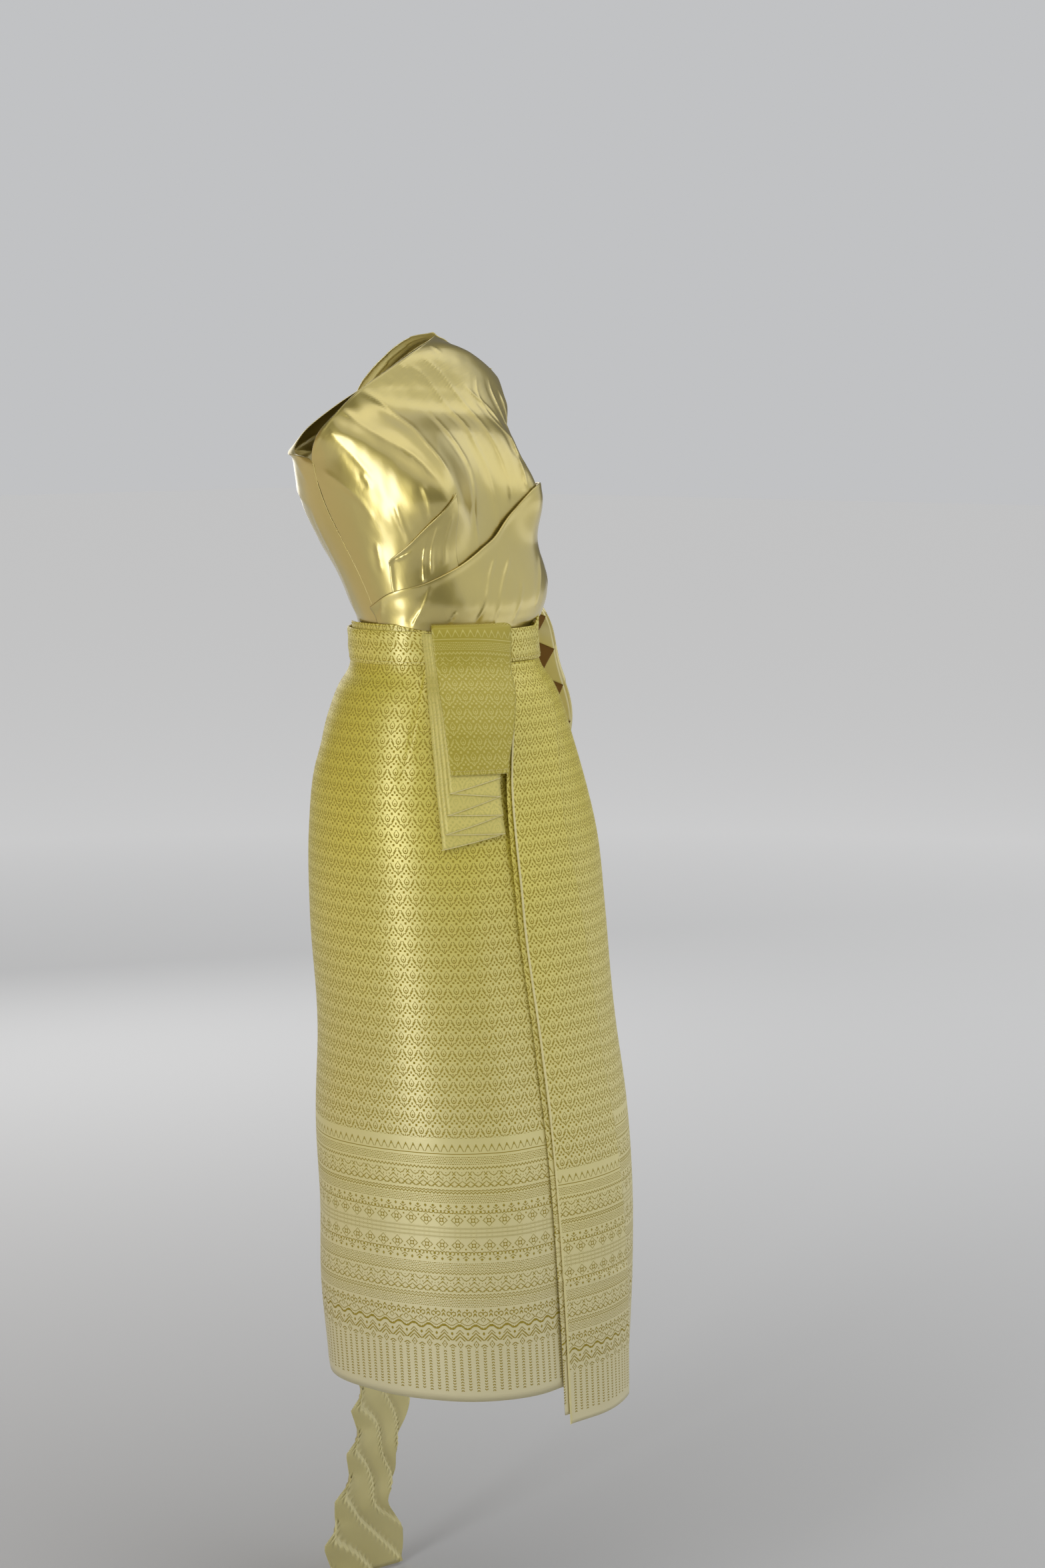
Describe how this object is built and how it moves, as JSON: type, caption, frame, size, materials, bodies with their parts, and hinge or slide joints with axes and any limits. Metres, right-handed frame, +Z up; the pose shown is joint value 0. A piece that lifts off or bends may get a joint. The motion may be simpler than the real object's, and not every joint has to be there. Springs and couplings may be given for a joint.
{
  "type": "chut thai dress",
  "caption": "One-shoulder Thai dress as worn: draped metallic bodice, pleated shoulder sash falling down the back, and a brocade tube skirt with a waistband, folded belt tab and front pleat.",
  "frame": {"origin": "The middle of the waist at the top edge of the waistband, where the wearer holds the dress up.", "axes": "+Z up, the wearer faces -Y, the wearer's left is +X."},
  "size_m": [0.4462, 0.4468, 1.6401],
  "materials": {
    "lame": "metallic gold lame, soft crinkled sheen",
    "sash_lame": "metallic gold lame, pressed in pleats",
    "brocade": "satin brocade with a woven lattice and bordered hem",
    "tab_brocade": "satin brocade"
  },
  "bodies": {
    "root": {"bodice_front_drape": "lame", "bodice_mid_tuck": "lame", "bodice_lower_wrap": "lame", "bodice_back": "lame", "sash": "sash_lame", "skirt_right": "brocade", "skirt_left": "brocade", "waistband": "brocade", "waistband_underlap": "brocade", "pleat_under": "brocade", "pleat_outer": "brocade", "tab_flap": "tab_brocade", "tab_folds": "tab_brocade"}
  },
  "joints": []
}
